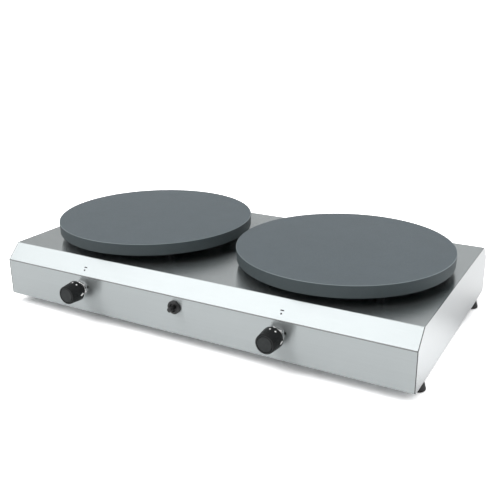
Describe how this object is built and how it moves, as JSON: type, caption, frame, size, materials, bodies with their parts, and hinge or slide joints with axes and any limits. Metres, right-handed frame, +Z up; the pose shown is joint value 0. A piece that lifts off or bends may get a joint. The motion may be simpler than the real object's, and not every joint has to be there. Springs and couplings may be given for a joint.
{
  "type": "gas crepe maker",
  "caption": "Wide low brushed-steel countertop gas crepe maker with round cast-iron griddle plates, push-and-turn gas knobs, a push-button igniter and rubber feet.",
  "frame": {"origin": "on the worktop, below the middle of the overall box", "axes": "+X to the right seen from the front, +Y from the fascia to the rear, +Z up"},
  "size_m": [0.85, 0.532, 0.1585],
  "materials": {
    "stainless": "satin",
    "zinc_steel": "satin",
    "spring_steel": "satin",
    "bowl_steel": "satin",
    "cast_iron": "matte",
    "burner_iron": "matte",
    "brass": "satin",
    "copper": "satin",
    "polished_steel": "polished",
    "black_plastic": "satin",
    "igniter_plastic": "satin",
    "rubber": "matte",
    "white_ceramic": "gloss",
    "red_silicone": "satin"
  },
  "bodies": {
    "chassis": {"top_cover": "stainless", "left_side_panel": "stainless", "right_side_panel": "stainless", "rear_panel": "stainless", "base_tray": "zinc_steel", "casing_screws": "zinc_steel", "foot_screws": "zinc_steel", "left_plate_pillars": "zinc_steel", "right_plate_pillars": "zinc_steel", "pillar_nuts": "zinc_steel", "left_injector_bracket": "zinc_steel", "right_injector_bracket": "zinc_steel", "left_tap_bonnet": "zinc_steel", "right_tap_bonnet": "zinc_steel", "left_tap_clamp": "zinc_steel", "right_tap_clamp": "zinc_steel", "clamp_screws": "zinc_steel", "gas_rail": "zinc_steel", "rail_clips": "zinc_steel", "igniter_spring": "spring_steel", "left_burner_bowl": "bowl_steel", "right_burner_bowl": "bowl_steel", "left_star_burner": "burner_iron", "right_star_burner": "burner_iron", "left_mixing_tube": "burner_iron", "right_mixing_tube": "burner_iron", "left_injector": "brass", "right_injector": "brass", "left_tap_body": "brass", "right_tap_body": "brass", "left_safety_valve": "brass", "right_safety_valve": "brass", "gas_inlet": "brass", "inlet_nut": "brass", "left_outlet_tube": "copper", "right_outlet_tube": "copper", "left_thermocouple": "copper", "right_thermocouple": "copper", "tap_nuts": "polished_steel", "igniter_body": "igniter_plastic", "igniter_nut": "igniter_plastic", "front_left_foot": "rubber", "front_right_foot": "rubber", "rear_left_foot": "rubber", "rear_right_foot": "rubber", "left_spark_electrode": "white_ceramic", "right_spark_electrode": "white_ceramic", "left_ignition_lead": "red_silicone", "right_ignition_lead": "red_silicone"},
    "left_plate": {"left_griddle_plate": "cast_iron"},
    "right_plate": {"right_griddle_plate": "cast_iron"},
    "left_plug": {"left_tap_plug": "brass", "left_return_spring": "spring_steel"},
    "right_plug": {"right_tap_plug": "brass", "right_return_spring": "spring_steel"},
    "left_control": {"left_knob": "black_plastic", "left_spindle": "polished_steel"},
    "right_control": {"right_knob": "black_plastic", "right_spindle": "polished_steel"},
    "igniter_plunger": {"igniter_button": "igniter_plastic"}
  },
  "joints": [
    {"name": "left_tap_turn", "type": "hinge", "parent": "chassis", "child": "left_plug", "pos_m": [-0.233, -0.224, 0.065], "axis": [0, -1, 0], "range_deg": [0, 180]},
    {"name": "left_knob_push", "type": "slide", "parent": "left_plug", "child": "left_control", "axis": [0, 1, 0], "range_m": [0, 0.005], "stiffness_N_per_m": 1500, "springref_m": -0.004, "deforming": ["left_return_spring"]},
    {"name": "right_tap_turn", "type": "hinge", "parent": "chassis", "child": "right_plug", "pos_m": [0.187, -0.224, 0.065], "axis": [0, -1, 0], "range_deg": [0, 180]},
    {"name": "right_knob_push", "type": "slide", "parent": "right_plug", "child": "right_control", "axis": [0, 1, 0], "range_m": [0, 0.005], "stiffness_N_per_m": 1500, "springref_m": -0.004, "deforming": ["right_return_spring"]},
    {"name": "igniter_press", "type": "slide", "parent": "chassis", "child": "igniter_plunger", "axis": [0, 1, 0], "range_m": [0, 0.007], "stiffness_N_per_m": 600, "springref_m": -0.004, "deforming": ["igniter_spring"]},
    {"name": "left_plate_lift", "type": "slide", "parent": "chassis", "child": "left_plate", "axis": [0, 0, 1], "range_m": [0, 0.15]},
    {"name": "right_plate_lift", "type": "slide", "parent": "chassis", "child": "right_plate", "axis": [0, 0, 1], "range_m": [0, 0.15]}
  ]
}
